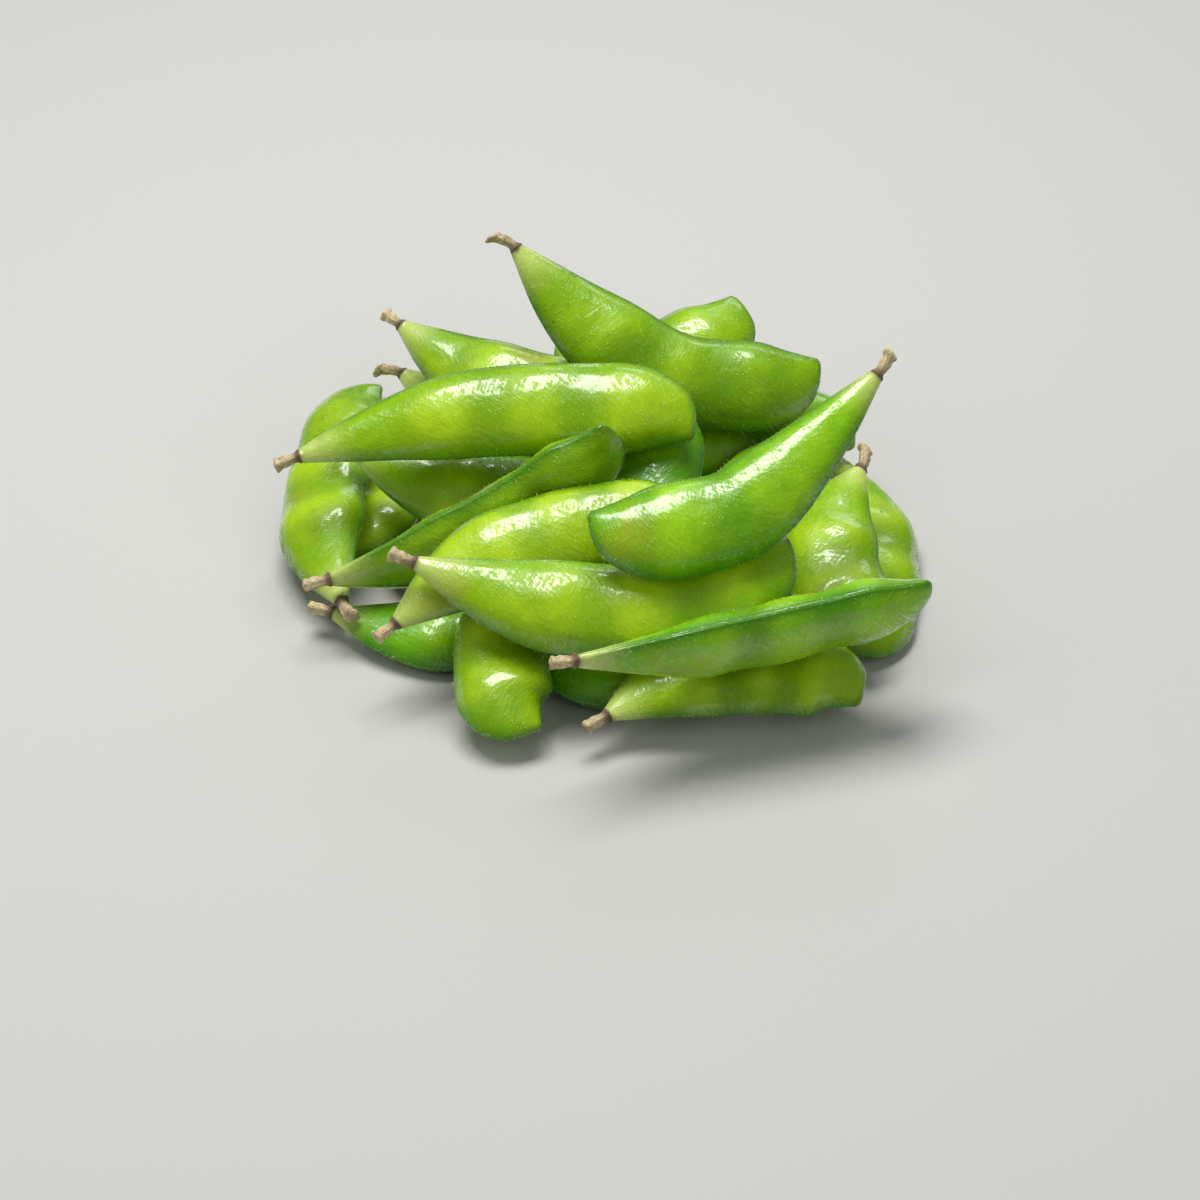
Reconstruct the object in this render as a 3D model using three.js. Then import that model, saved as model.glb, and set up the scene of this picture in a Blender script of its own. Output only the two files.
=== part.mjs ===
// A bundle of cooked edamame: whole soybean pods heaped loosely on one another.
// Every pod grew as one piece, so each is one solid: a woody stub of stem, a narrow neck,
// a flattened body that swells over its beans, and a beak at the corner of the far end.
// Millimetres, +Z up. The pods lie on the plane z = 0, and -Y is the side they are served from.
import * as THREE from "three";

// Sizes of a pod.
const HALF_WIDTH = 7.6; // seam to middle, over a bean
const HALF_THICKNESS = 4.4; // flat face to middle, over a bean
const STUB_LENGTH = 5.5; // the cut stem that stays on the pod
const STUB_RADIUS = 1.15;
const NECK_ROOT = 0.17; // the neck at the stub, as a share of the full width
const NECK_SHARE = 0.42; // how far along the body the neck of most pods reaches full width
const END_SHARE = 0.78; // where the body starts to round off towards the beak
const WAIST = 0.26; // how much thinner the body is between two beans
const CORNER_SHIFT = 0.72; // how far neck and beak lean to the inner seam, in half widths
const BEND_SHARE = 0.64; // where along the pod its bend is gathered
const BEND_KEENNESS = 8;

// Facets of a solid.
const SIDES = 10;
const BODY_RINGS = [0, 0.07, 0.14, 0.21, 0.28, 0.36, 0.44, 0.52, 0.6, 0.68, 0.76, 0.83, 0.89, 0.94, 0.98];

// How the heap is let settle.
const CLEARANCE = 0.7; // air left between two pods
const FLOOR_BITE = 0.8; // how far the lowest pods press their underside flat
const BEAD_STEP = 2.6; // distance between the rows of beads that stand for a pod
const SETTLING_PASSES = 300;
const CLEARING_PASSES = 900;
const DROP_PER_PASS = 0.1;
const SLOPE = new THREE.Vector3(0, 0.79, -0.61); // the way the outer pods sink onto the heap
const KEEP_INNER = 0.02; // share of the way back to its laid place that a pod moves in each pass
const KEEP_OUTER = 0.2;
const SLUGGISHNESS = 2.5; // how much harder a pod is to turn than a plain rod of its length
const FIRMNESS = 8; // how much harder an outer pod is to push than one inside the heap

// Each pod as it is laid: where its stem stub ends, where its beak is, which way its flat face looks,
// how far its inner seam bows out of that line, and how many beans it holds. A negative bow turns
// the inner seam to the other side. A pod with a neck of its own reaches full width there. A pod
// with a start lies in the outer layers: it is let down from that distance along SLOPE, and it is
// firmer in its place than the pods that fill the heap.
const PODS = [
  // The middle and the back of the heap, lowest first.
  { stem: [20, -3, 5], tip: [-34, -1, 5], face: [0, 0.1, 1], bow: -2, beans: 3 },
  { stem: [-34, 17, 5], tip: [20, 16, 5], face: [-0.1, 0, 1], bow: 2, beans: 3 },
  { stem: [37, -15, 5], tip: [-12, -23, 5], face: [0, -0.1, 1], bow: 2, beans: 3 },
  { stem: [30, 50, 5], tip: [-24, 50, 5], face: [0, 0, 1], bow: 2, beans: 3 },
  { stem: [-26, 58, 5], tip: [-42, 8, 5], face: [0, 0, 1], bow: 2, beans: 3 },
  { stem: [36, 38, 12], tip: [-8, 46, 12], face: [0, 0, 1], bow: -2, beans: 2 },
  // Its left side.
  { stem: [-41, -24, 6], tip: [-37, 33, 18], face: [-0.35, -0.3, 0.9], bow: 2, beans: 3, start: 4 },
  { stem: [-49, -15, 5], tip: [0, -12, 5], face: [0, -0.2, 0.9], bow: -2, beans: 3, start: 0 },
  { stem: [-48, 8, 20], tip: [10, 0, 22], face: [0, -0.6, 0.8], bow: -1, beans: 3, start: 2 },
  // Its front.
  { stem: [-4, -41, 5], tip: [41, -37, 5], face: [0, -0.3, 0.9], bow: 2, beans: 3, start: 0 },
  { stem: [-6, -6, 14], tip: [-8, -42, 5], face: [0, -0.2, 1], bow: -2, beans: 2, start: 0 },
  // Its right side.
  { stem: [27, 42, 10], tip: [25, -8, 5], face: [0.1, -0.4, 0.9], bow: 2, beans: 3, start: 0 },
  { stem: [40, 28, 10], tip: [37, -24, 5], face: [0.2, -0.4, 0.9], bow: 2, beans: 3, start: 0 },
  { stem: [43, 12, 20], tip: [46, -24, 8], face: [-0.15, -0.5, 0.85], bow: -2, beans: 2, start: 6 },
  { stem: [40, 16, 26], tip: [25, -24, 14], face: [-0.2, -0.55, 0.8], bow: -2, beans: 2, start: 12 },
  // Its back.
  { stem: [-40, 43, 15], tip: [14, 29, 13], face: [0, -0.5, 0.85], bow: -2, beans: 3, start: 0 },
  { stem: [-6, 5, 13], tip: [43, 18, 15], face: [0, -0.5, 0.8], bow: 1, beans: 2, start: 0 },
  { stem: [-29, 22, 17], tip: [24, 44, 27], face: [-0.1, -0.6, 0.8], bow: -2, beans: 3, start: 6 },
  { stem: [-40, 50, 20], tip: [14, 32, 20], face: [0, -0.6, 0.8], bow: -3, beans: 3, start: 4 },
  // The pods on top.
  { stem: [-9, -28, 10], tip: [3, 9, 29], face: [-0.2, -0.4, 0.9], bow: -2, beans: 2, start: 2 },
  { stem: [-54, 2, 24], tip: [16, -1, 24], face: [0, -0.65, 0.75], bow: 1, beans: 3, neck: 0.52, start: 6 },
  { stem: [-48, -12, 7], tip: [1, 1, 32], face: [0.4, -0.9, -0.1], bow: -3, beans: 3, start: 14 },
  { stem: [-37, -25, 9], tip: [15, -9, 16], face: [-0.1, -0.6, 0.8], bow: 2, beans: 3, start: 18 },
  { stem: [-19, 28, 53], tip: [37, 21, 32], face: [0, -0.7, 0.7], bow: -7, beans: 3, start: 8 },
  { stem: [-9, -38, 13], tip: [51, -20, 16], face: [0, 0.88, 0.45], bow: 1, beans: 3, neck: 0.5, start: 24 },
  { stem: [-34, -16, 17], tip: [30, -16, 22], face: [0, -0.6, 0.8], bow: -6, beans: 3, start: 16 },
  { stem: [48, 6, 41], tip: [-2, -16, 26], face: [0, -0.65, 0.75], bow: 6, beans: 2, neck: 0.7, start: 16 },
];

const BEAN_PLACES = { 2: [0.45, 0.77], 3: [0.36, 0.6, 0.84] };

// The pods aren't all equally green. The numbers count the list above from 1.
const OLIVE_GREEN = 0x7f9420;
const TONES = [
  { colour: 0x6fae1a, pods: [3, 8, 12, 17, 20, 25, 27] },
  { colour: 0x8cb41c, pods: [1, 5, 9, 11, 14, 18, 21, 23, 26] },
];

// 1 over a bean, falling to 0 between beans.
function swelling(u, beans) {
  const places = BEAN_PLACES[beans];
  const reach = 0.44 * (places[1] - places[0]);
  return Math.min(1, places.reduce((sum, place) => sum + Math.exp(-(((u - place) / reach) ** 2)), 0));
}

// The pod's body cut across at share u of its length: half width, half thickness and how far
// the cut's middle stands out from the line of the inner seam.
function bodySection(u, { beans, neck }) {
  const rise = Math.sin((Math.PI / 2) * Math.min(1, u / neck));
  const past = Math.max(0, (u - END_SHARE) / (1 - END_SHARE));
  const fall = Math.sqrt(Math.max(0, 1 - past ** 2.4));
  const swell = swelling(u, beans);
  const width = HALF_WIDTH * (NECK_ROOT + (1 - NECK_ROOT) * rise) * fall * (0.95 + 0.05 * swell);
  const flat = HALF_THICKNESS * (1 - WAIST * (1 - swell) * rise);
  return {
    width,
    thickness: flat * (NECK_ROOT * 1.3 + (1 - NECK_ROOT * 1.3) * rise) * fall ** 0.85,
    lean: HALF_WIDTH * CORNER_SHIFT * rise * fall,
  };
}

// How far along its bow the inner seam is at share s of a pod's length: nothing at both ends,
// with its bend gathered where the pod is waisted.
function bend(s) {
  const rising = Math.exp((-BEND_KEENNESS * s) / BEND_SHARE);
  const falling = Math.exp((-BEND_KEENNESS * (1 - s)) / (1 - BEND_SHARE));
  return -Math.log(rising + falling) / BEND_KEENNESS;
}

// A pod's own frame: x from the stub's end to the beak, y across to a seam, z out of the flat face.
// Returns the stations along it, each with its centre, half width and half thickness.
function stations(pod, shares) {
  const length = pod.length;
  const bodyStart = STUB_LENGTH / length;
  const made = shares.map((u) => {
    const s = bodyStart + (1 - bodyStart) * u;
    const cut = bodySection(u, pod);
    const centre = new THREE.Vector3(length * s, pod.bow * bend(s) + Math.sign(pod.bow) * cut.lean, 0);
    return { centre, width: cut.width, thickness: cut.thickness };
  });
  const collar = made[0].centre;
  const along = made[1].centre.clone().sub(collar).normalize();
  const stub = [
    [1, STUB_RADIUS * 1.25],
    [0.78, STUB_RADIUS * 1.35],
    [0.45, STUB_RADIUS],
    [0.1, STUB_RADIUS],
  ].map(([back, radius]) => ({
    centre: collar.clone().addScaledVector(along, -STUB_LENGTH * back),
    width: radius,
    thickness: radius,
  }));
  return [...stub, ...made];
}

// Unit vectors across each station: to the seam and out of the flat face.
function crossings(list) {
  const up = new THREE.Vector3(0, 0, 1);
  return list.map((_, i) => {
    const before = list[Math.max(0, i - 1)].centre;
    const after = list[Math.min(list.length - 1, i + 1)].centre;
    const along = after.clone().sub(before).normalize();
    return { side: up.clone().cross(along), up };
  });
}

// The solid of a pod in its own frame: rings of points joined into quads, with a point at each end.
function podGeometry(pod) {
  const list = stations(pod, BODY_RINGS);
  const across = crossings(list);
  const last = list[list.length - 1].centre;
  const outward = last.clone().sub(list[list.length - 2].centre).normalize();
  const beak = last.clone().addScaledVector(outward, 1.6);
  const points = [];
  list.forEach((station, i) => {
    for (let k = 0; k < SIDES; k += 1) {
      const angle = (2 * Math.PI * k) / SIDES;
      points.push(
        station.centre
          .clone()
          .addScaledVector(across[i].side, station.width * Math.cos(angle))
          .addScaledVector(across[i].up, station.thickness * Math.sin(angle)),
      );
    }
  });
  const butt = points.push(list[0].centre.clone()) - 1;
  const nose = points.push(beak) - 1;
  const index = [];
  for (let k = 0; k < SIDES; k += 1) {
    const next = (k + 1) % SIDES;
    index.push(butt, next, k);
    for (let i = 0; i < list.length - 1; i += 1) {
      const a = i * SIDES;
      const b = a + SIDES;
      index.push(a + k, a + next, b + k, a + next, b + next, b + k);
    }
    const end = (list.length - 1) * SIDES;
    index.push(end + k, end + next, nose);
  }
  return new THREE.BufferGeometry().setFromPoints(points).setIndex(index);
}

// Beads that fill a pod, in its own frame: rows of three across its width.
function podBeads(pod) {
  const count = Math.round(pod.length / BEAD_STEP);
  const shares = Array.from({ length: count }, (_, i) => (i + 0.3) / count);
  const list = stations(pod, shares);
  const across = crossings(list);
  return list.flatMap((station, i) => {
    const { width: a, thickness: b } = station;
    if (a <= b * 1.05) return [{ at: station.centre, radius: Math.min(a, b) }];
    const outer = (0.85 * (a * a - b * b)) / a;
    const radius = b * Math.sqrt(1 - (outer * outer) / (a * a - b * b));
    return [
      { at: station.centre, radius: b },
      { at: station.centre.clone().addScaledVector(across[i].side, outer), radius },
      { at: station.centre.clone().addScaledVector(across[i].side, -outer), radius },
    ];
  });
}

// Turns a row of the list above into a pod with its length, place, turn and beads.
function layPod(row) {
  const stem = new THREE.Vector3(...row.stem);
  const along = new THREE.Vector3(...row.tip).sub(stem);
  const pod = { neck: NECK_SHARE, ...row, length: along.length() };
  along.normalize();
  const face = new THREE.Vector3(...row.face);
  face.addScaledVector(along, -face.dot(along)).normalize();
  const side = face.clone().cross(along);
  pod.turn = new THREE.Quaternion().setFromRotationMatrix(new THREE.Matrix4().makeBasis(along, side, face));
  const beads = podBeads(pod);
  const offset = pod.bow * 0.6 + Math.sign(pod.bow) * HALF_WIDTH * 0.5;
  const middle = new THREE.Vector3(pod.length * 0.55, offset, 0);
  pod.middle = middle;
  pod.beads = beads.map((bead) => ({ arm: bead.at.clone().sub(middle), radius: bead.radius }));
  pod.place = middle.clone().applyQuaternion(pod.turn).add(stem);
  pod.laidPlace = pod.place.clone();
  pod.laidTurn = pod.turn.clone();
  const outer = row.start !== undefined;
  pod.sink = outer ? SLOPE : new THREE.Vector3(0, 0, -1);
  pod.yield = outer ? 1 / FIRMNESS : 1;
  pod.keep = outer ? KEEP_OUTER : KEEP_INNER;
  pod.place.addScaledVector(pod.sink, -(row.start ?? 0));
  pod.reach = Math.max(...pod.beads.map((bead) => bead.arm.length() + bead.radius));
  pod.ease = 12 / (pod.length ** 2 * SLUGGISHNESS);
  pod.world = pod.beads.map(() => new THREE.Vector3());
  freshen(pod);
  return pod;
}

// Works out where a pod's beads are now.
function freshen(pod) {
  pod.beads.forEach((bead, i) => pod.world[i].copy(bead.arm).applyQuaternion(pod.turn).add(pod.place));
}

// Pushes a pod at a point, along a unit vector, with a strength shared between moving and turning.
function push(pod, point, direction, strength) {
  const amount = strength * pod.yield;
  const arm = point.clone().sub(pod.place);
  const twist = arm.cross(direction).multiplyScalar(amount * pod.ease);
  pod.place.addScaledVector(direction, amount);
  const angle = twist.length();
  if (angle > 1e-9) {
    const turned = new THREE.Quaternion().setFromAxisAngle(twist.divideScalar(angle), angle);
    pod.turn.premultiply(turned).normalize();
  }
  freshen(pod);
}

// How readily a push at a point along a direction moves that point of the pod.
function compliance(pod, point, direction) {
  return pod.yield * (1 + point.clone().sub(pod.place).cross(direction).lengthSq() * pod.ease);
}

// Parts two pods at the place where they overlap most. Returns that overlap.
function partPair(a, b) {
  if (a.place.distanceTo(b.place) > a.reach + b.reach) return 0;
  let worst = 0;
  let at = null;
  for (let i = 0; i < a.world.length; i += 1) {
    const p = a.world[i];
    const near = a.beads[i].radius + CLEARANCE;
    for (let k = 0; k < b.world.length; k += 1) {
      const q = b.world[k];
      const room = near + b.beads[k].radius;
      const x = p.x - q.x;
      const y = p.y - q.y;
      const z = p.z - q.z;
      const square = x * x + y * y + z * z;
      if (square < room * room && room - Math.sqrt(square) > worst) {
        worst = room - Math.sqrt(square);
        at = [i, k];
      }
    }
  }
  if (!at) return 0;
  const p = a.world[at[0]];
  const q = b.world[at[1]];
  const direction = p.clone().sub(q).normalize();
  const point = q.clone().addScaledVector(direction, b.beads[at[1]].radius);
  const share = worst / (compliance(a, point, direction) + compliance(b, point, direction));
  push(a, point, direction, share);
  push(b, point, direction, -share);
  return worst;
}

// Lifts a pod's lowest bead back to the plane it lies on. Returns how far it was below.
function liftFromFloor(pod) {
  let worst = 0;
  let at = -1;
  pod.world.forEach((p, i) => {
    const below = pod.beads[i].radius - FLOOR_BITE - p.z;
    if (below > worst) {
      worst = below;
      at = i;
    }
  });
  if (at < 0) return 0;
  const up = new THREE.Vector3(0, 0, 1);
  const point = pod.world[at].clone();
  push(pod, point, up, worst / compliance(pod, point, up));
  return worst;
}

// Lets every pod sink onto those below it while it stays near the place it was laid in.
function settle(pods) {
  const passes = SETTLING_PASSES + CLEARING_PASSES;
  const astray = new THREE.Vector3();
  for (let pass = 0; pass < passes; pass += 1) {
    const sinking = pass < SETTLING_PASSES;
    let worst = 0;
    for (const pod of pods) {
      if (!sinking) {
        pod.yield = 1;
        continue;
      }
      astray.copy(pod.laidPlace).sub(pod.place);
      astray.addScaledVector(pod.sink, -astray.dot(pod.sink));
      pod.place.addScaledVector(astray, pod.keep).addScaledVector(pod.sink, DROP_PER_PASS);
      pod.turn.slerp(pod.laidTurn, pod.keep);
      freshen(pod);
    }
    for (let i = 0; i < pods.length; i += 1) {
      for (let k = i + 1; k < pods.length; k += 1) worst = Math.max(worst, partPair(pods[i], pods[k]));
      worst = Math.max(worst, liftFromFloor(pods[i]));
    }
    if (!sinking && worst < 0.02) break;
  }
}

// A settled pod as a mesh, with what dips below the plane it lies on pressed flat.
function podMesh(pod, number, shift) {
  const geometry = podGeometry(pod);
  geometry.translate(-pod.middle.x, -pod.middle.y, -pod.middle.z);
  const color = TONES.find((tone) => tone.pods.includes(number))?.colour ?? OLIVE_GREEN;
  const skin = new THREE.MeshStandardMaterial({ color, roughness: 0.3, metalness: 0 });
  const mesh = new THREE.Mesh(geometry, skin);
  mesh.name = `pod_${String(number).padStart(2, "0")}`;
  mesh.position.copy(pod.place).add(shift);
  mesh.quaternion.copy(pod.turn);
  mesh.updateMatrixWorld(true);
  const points = geometry.getAttribute("position");
  const point = new THREE.Vector3();
  for (let i = 0; i < points.count; i += 1) {
    mesh.localToWorld(point.fromBufferAttribute(points, i));
    if (point.z >= 0) continue;
    point.z = 0;
    mesh.worldToLocal(point);
    points.setXYZ(i, point.x, point.y, point.z);
  }
  geometry.computeVertexNormals();
  return mesh;
}

const pods = PODS.map(layPod);
settle(pods);

const bundle = new THREE.Group();
pods.forEach((pod, i) => bundle.add(podMesh(pod, i + 1, new THREE.Vector3())));
const box = new THREE.Box3().setFromObject(bundle, true);
const centre = box.getCenter(new THREE.Vector3());
bundle.position.set(-centre.x, -centre.y, 0);

export default bundle;
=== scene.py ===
"""Looks of a bundle of cooked edamame pods.

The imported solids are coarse. Each pod gets a smooth skin in the same place: the rule of growth
of the part's source gives its shape, and its own solid's mesh gives its place. The skin adds the
seams, the swell of the beans, the stem stub with its scar, the beak and short hairs.
"""

import logging
import math
from dataclasses import dataclass
from enum import Enum

import bpy
import numpy as np
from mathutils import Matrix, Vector


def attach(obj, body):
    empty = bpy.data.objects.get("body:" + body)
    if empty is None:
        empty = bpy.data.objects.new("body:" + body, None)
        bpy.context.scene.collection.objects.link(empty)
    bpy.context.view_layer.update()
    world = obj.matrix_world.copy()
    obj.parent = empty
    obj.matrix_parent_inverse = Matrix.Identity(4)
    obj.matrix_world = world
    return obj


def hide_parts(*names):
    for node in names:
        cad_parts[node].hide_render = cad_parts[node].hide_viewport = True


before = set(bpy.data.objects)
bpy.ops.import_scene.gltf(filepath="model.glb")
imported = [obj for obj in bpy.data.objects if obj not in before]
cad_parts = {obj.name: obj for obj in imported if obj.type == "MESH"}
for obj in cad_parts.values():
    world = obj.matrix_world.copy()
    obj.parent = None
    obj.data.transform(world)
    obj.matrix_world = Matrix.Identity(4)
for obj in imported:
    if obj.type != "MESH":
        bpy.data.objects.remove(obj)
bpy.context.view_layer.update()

MM = 0.001
Array = np.ndarray
Triple = tuple[float, float, float]
Colour = tuple[float, float, float, float]
log = logging.getLogger("edamame")


class Tone(Enum):
    """How green a pod is. The value is the record's material slot."""

    FRESH = "pod_fresh_green"
    YELLOW = "pod_yellow_green"
    OLIVE = "pod_olive"


class StubEnd(Enum):
    """How a pod's stem stub ends: how far it curls, in millimetres, and how much it is knobbed."""

    STRAIGHT = (0.2, 0.15)
    KNOBBED = (0.9, 0.4)
    HOOKED = (2.2, 0.45)

    @property
    def curl(self) -> float:
        """How far the stub's end stands off its line."""
        return self.value[0]

    @property
    def knob(self) -> float:
        """How much thicker the stub's end is, as a share."""
        return self.value[1]


@dataclass(frozen=True)
class Growth:
    """The rule that every pod grows by, in millimetres and in shares of its body.

    These are the driving sizes of the part's source.
    """

    half_width: float = 7.6
    half_thickness: float = 4.4
    stub_length: float = 5.5
    stub_radius: float = 1.15
    neck_root: float = 0.17
    neck_share: float = 0.42
    end_share: float = 0.78
    end_power: float = 2.4
    end_thinning: float = 0.85
    root_thickness: float = 1.3
    waist: float = 0.26
    bean_reach: float = 0.44
    bean_width: float = 0.05
    corner_shift: float = 0.72
    bend_share: float = 0.64
    bend_keenness: float = 8.0
    beak: float = 1.6
    sides: int = 10
    rings: tuple[float, ...] = (
        0, 0.07, 0.14, 0.21, 0.28, 0.36, 0.44, 0.52, 0.6, 0.68, 0.76, 0.83, 0.89, 0.94, 0.98,
    )
    stub_backs: tuple[float, ...] = (1, 0.78, 0.45, 0.1)
    stub_swells: tuple[float, ...] = (1.25, 1.35, 1, 1)

    def bean_places(self, beans: int) -> tuple[float, ...]:
        """Where along the body its beans lie."""
        return {2: (0.45, 0.77), 3: (0.36, 0.6, 0.84)}[beans]

    def swelling(self, u: Array, beans: int) -> Array:
        """1 over a bean, falling to 0 between beans."""
        places = self.bean_places(beans)
        reach = self.bean_reach * (places[1] - places[0])
        return np.minimum(1, sum(np.exp(-(((u - place) / reach) ** 2)) for place in places))

    def cut(self, u: Array, pod: "LaidPod") -> tuple[Array, Array, Array]:
        """Cuts a pod's body across.

        Args:
            u: Shares of the body's length.
            pod: The pod, for its beans and its neck.

        Returns:
            Half width, half thickness and how far the cut stands out from the inner seam's line.
        """
        rise = np.sin(math.pi / 2 * np.minimum(1, u / (pod.neck or self.neck_share)))
        past = np.maximum(0, (u - self.end_share) / (1 - self.end_share))
        fall = np.sqrt(np.maximum(0, 1 - past**self.end_power))
        swell = self.swelling(u, pod.beans)
        root, bean = self.neck_root, self.bean_width
        width = self.half_width * (root + (1 - root) * rise) * fall * (1 - bean + bean * swell)
        flat = self.half_thickness * (1 - self.waist * (1 - swell) * rise)
        root *= self.root_thickness
        thickness = flat * (root + (1 - root) * rise) * fall**self.end_thinning
        return width, thickness, self.half_width * self.corner_shift * rise * fall

    def bend(self, s: Array) -> Array:
        """How far along its bow the inner seam is at a share of the pod's whole length."""
        rising = np.exp(-self.bend_keenness * s / self.bend_share)
        falling = np.exp(-self.bend_keenness * (1 - s) / (1 - self.bend_share))
        return -np.log(rising + falling) / self.bend_keenness


GROWTH = Growth()


@dataclass(frozen=True)
class LaidPod:
    """One pod of the heap, as the part's source lays it before the heap settles.

    Stem and tip are the ends that its length comes from. Its place in the settled heap comes
    from its solid.
    """

    stem: Triple
    tip: Triple
    bow: float
    beans: int
    tone: Tone
    stub: StubEnd = StubEnd.KNOBBED
    neck: float | None = None  # where its body reaches full width, if not where most do

    @property
    def length(self) -> float:
        """From the stub's end to the beak, in millimetres."""
        return math.dist(self.stem, self.tip)


LAID_PODS = (
    # The middle and the back of the heap, lowest first.
    LaidPod((20, -3, 5), (-34, -1, 5), -2, 3, Tone.YELLOW),
    LaidPod((-34, 17, 5), (20, 16, 5), 2, 3, Tone.OLIVE),
    LaidPod((37, -15, 5), (-12, -23, 5), 2, 3, Tone.FRESH),
    LaidPod((30, 50, 5), (-24, 50, 5), 2, 3, Tone.OLIVE),
    LaidPod((-26, 58, 5), (-42, 8, 5), 2, 3, Tone.YELLOW),
    LaidPod((36, 38, 12), (-8, 46, 12), -2, 2, Tone.OLIVE),
    # Its left side.
    LaidPod((-41, -24, 6), (-37, 33, 18), 2, 3, Tone.OLIVE),
    LaidPod((-49, -15, 5), (0, -12, 5), -2, 3, Tone.FRESH, StubEnd.STRAIGHT),
    LaidPod((-48, 8, 20), (10, 0, 22), -1, 3, Tone.YELLOW),
    # Its front.
    LaidPod((-4, -41, 5), (41, -37, 5), 2, 3, Tone.OLIVE, StubEnd.STRAIGHT),
    LaidPod((-6, -6, 14), (-8, -42, 5), -2, 2, Tone.YELLOW),
    # Its right side.
    LaidPod((27, 42, 10), (25, -8, 5), 2, 3, Tone.FRESH),
    LaidPod((40, 28, 10), (37, -24, 5), 2, 3, Tone.OLIVE, StubEnd.HOOKED),
    LaidPod((43, 12, 20), (46, -24, 8), -2, 2, Tone.YELLOW, StubEnd.HOOKED),
    LaidPod((40, 16, 26), (25, -24, 14), -2, 2, Tone.OLIVE),
    # Its back.
    LaidPod((-40, 43, 15), (14, 29, 13), -2, 3, Tone.OLIVE, StubEnd.HOOKED),
    LaidPod((-6, 5, 13), (43, 18, 15), 1, 2, Tone.FRESH),
    LaidPod((-29, 22, 17), (24, 44, 27), -2, 3, Tone.YELLOW),
    LaidPod((-40, 50, 20), (14, 32, 20), -3, 3, Tone.OLIVE),
    # The pods on top.
    LaidPod((-9, -28, 10), (3, 9, 29), -2, 2, Tone.FRESH),
    LaidPod((-54, 2, 24), (16, -1, 24), 1, 3, Tone.YELLOW, neck=0.52),
    LaidPod((-48, -12, 7), (1, 1, 32), -3, 3, Tone.OLIVE, StubEnd.STRAIGHT),
    LaidPod((-37, -25, 9), (15, -9, 16), 2, 3, Tone.YELLOW),
    LaidPod((-19, 28, 53), (37, 21, 32), -7, 3, Tone.OLIVE, StubEnd.HOOKED),
    LaidPod((-9, -38, 13), (51, -20, 16), 1, 3, Tone.FRESH, StubEnd.STRAIGHT, 0.5),
    LaidPod((-34, -16, 17), (30, -16, 22), -6, 3, Tone.YELLOW),
    LaidPod((48, 6, 41), (-2, -16, 26), 6, 2, Tone.FRESH, neck=0.7),
)


@dataclass(frozen=True)
class SkinDetail:
    """What the smooth skin has and the coarse solid lacks, in millimetres."""

    body_stations: int = 96
    stub_stations: int = 22
    sides: int = 52
    seam_crowding: float = 0.38  # how much closer the skin's lines lie along the seams
    inner_ridge: float = 0.34
    outer_ridge: float = 0.24
    ridge_reach: float = 0.42
    ridge_groove: float = 0.16
    groove_reach: float = 0.16
    pinch: float = 0.12  # the hollow beside a seam
    pinch_place: float = 1.5
    pinch_reach: float = 0.8
    bean_relief: float = 0.26
    level: float = 0.6  # the swelling that neither stands out nor sinks
    smooth_length: float = 35.0  # a pod this short shows no relief
    full_relief_length: float = 60.0
    lump: float = 0.08
    lump_waves: tuple[float, ...] = (17.0, 11.0, 7.5, 5.2)
    nib: float = 0.25  # the beak's hard point
    nib_turn: float = 0.45  # how far it points to the outer seam
    neck_reach: float = 0.12  # the share of the body over which relief comes in
    neck_relief: float = 0.15  # how much of it there is at least
    beak_reach: float = 0.03
    beak_relief: float = 0.2


@dataclass(frozen=True)
class StubDetail:
    """What the skin's stem stub has: shares of the stub's length and of its radius."""

    shown: float = 0.84  # its end has dried and shrunk by the rest
    girth: float = 0.8
    knob_place: float = 0.89
    knob_reach: float = 0.12
    knob_size: float = 1.1
    wave: float = 0.09
    wave_turns: float = 11.0
    scar: float = 0.2  # the ring where the stub joins the pod, in millimetres
    scar_place: float = 0.07
    scar_reach: float = 0.06
    round_off: float = 0.95  # where the cut end starts to round off
    round_reach: float = 0.055
    curl_power: float = 2.2
    curl_range: tuple[float, float] = (0.7, 1.1)  # shares of its curl, drawn at random
    last_station: float = 0.04
    smallest_cut: float = 0.05
    butt: float = 0.15  # how far the cut end bulges, in millimetres
    ribs: tuple[tuple[int, float], ...] = ((5, 0.07), (3, 0.05))  # how many, and how high


@dataclass(frozen=True)
class Pose:
    """Where a pod is: its turn and the place of its own origin, in metres."""

    turn: Array
    place: Array

    def applied(self, points: Array) -> Array:
        """Points of the pod's own frame, in millimetres, as they are in the heap, in metres."""
        return points * MM @ self.turn.T + self.place


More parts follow.
